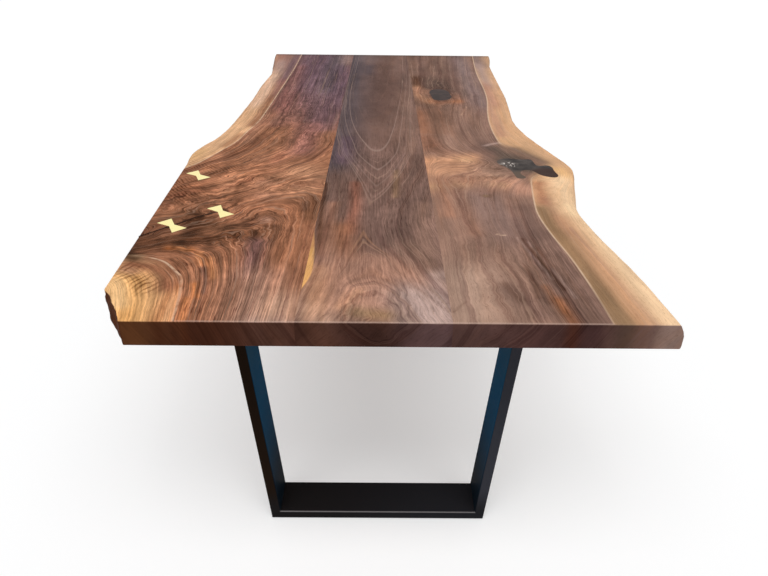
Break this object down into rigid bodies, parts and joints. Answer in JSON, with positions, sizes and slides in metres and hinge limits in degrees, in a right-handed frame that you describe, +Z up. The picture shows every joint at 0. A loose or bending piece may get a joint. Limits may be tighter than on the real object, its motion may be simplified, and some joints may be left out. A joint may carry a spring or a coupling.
{
  "type": "live edge dining table",
  "caption": "Dining table with a natural edge slab top, let in brass keys and filled knots, on two trapezoid frames of flat steel tube.",
  "frame": {"origin": "on the floor under the middle of the table", "axes": "+X across to the right of the end that faces the camera, +Y along the table away from it, +Z up"},
  "size_m": [1.1396, 2.54, 0.762],
  "materials": {
    "walnut": "oiled satin",
    "brass": "polished flush",
    "black_resin": "satin",
    "tenon_wood": "raw",
    "black_steel": "satin black powder coat",
    "fastener_steel": "black oxide",
    "insert_steel": "zinc plated",
    "pad": "matte"
  },
  "bodies": {
    "root": {"left_slab": "walnut", "centre_board": "walnut", "right_slab": "walnut", "left_seam_tenons": "tenon_wood", "right_seam_tenons": "tenon_wood", "bow_tie_front": "brass", "bow_tie_middle": "brass", "bow_tie_rear": "brass", "crack_fill": "black_resin", "near_knot_fill": "black_resin", "far_knot_fill": "black_resin", "front_channel": "black_steel", "middle_channel": "black_steel", "rear_channel": "black_steel", "front_left_upright": "black_steel", "front_right_upright": "black_steel", "front_foot_bar": "black_steel", "front_leg_plate": "black_steel", "front_leg_glides": "pad", "front_leg_bolts": "fastener_steel", "front_leg_washers": "fastener_steel", "front_leg_inserts": "insert_steel", "rear_left_upright": "black_steel", "rear_right_upright": "black_steel", "rear_foot_bar": "black_steel", "rear_leg_plate": "black_steel", "rear_leg_glides": "pad", "rear_leg_bolts": "fastener_steel", "rear_leg_washers": "fastener_steel", "rear_leg_inserts": "insert_steel", "channel_bolts": "fastener_steel", "channel_washers": "fastener_steel", "channel_inserts": "insert_steel"}
  },
  "joints": []
}
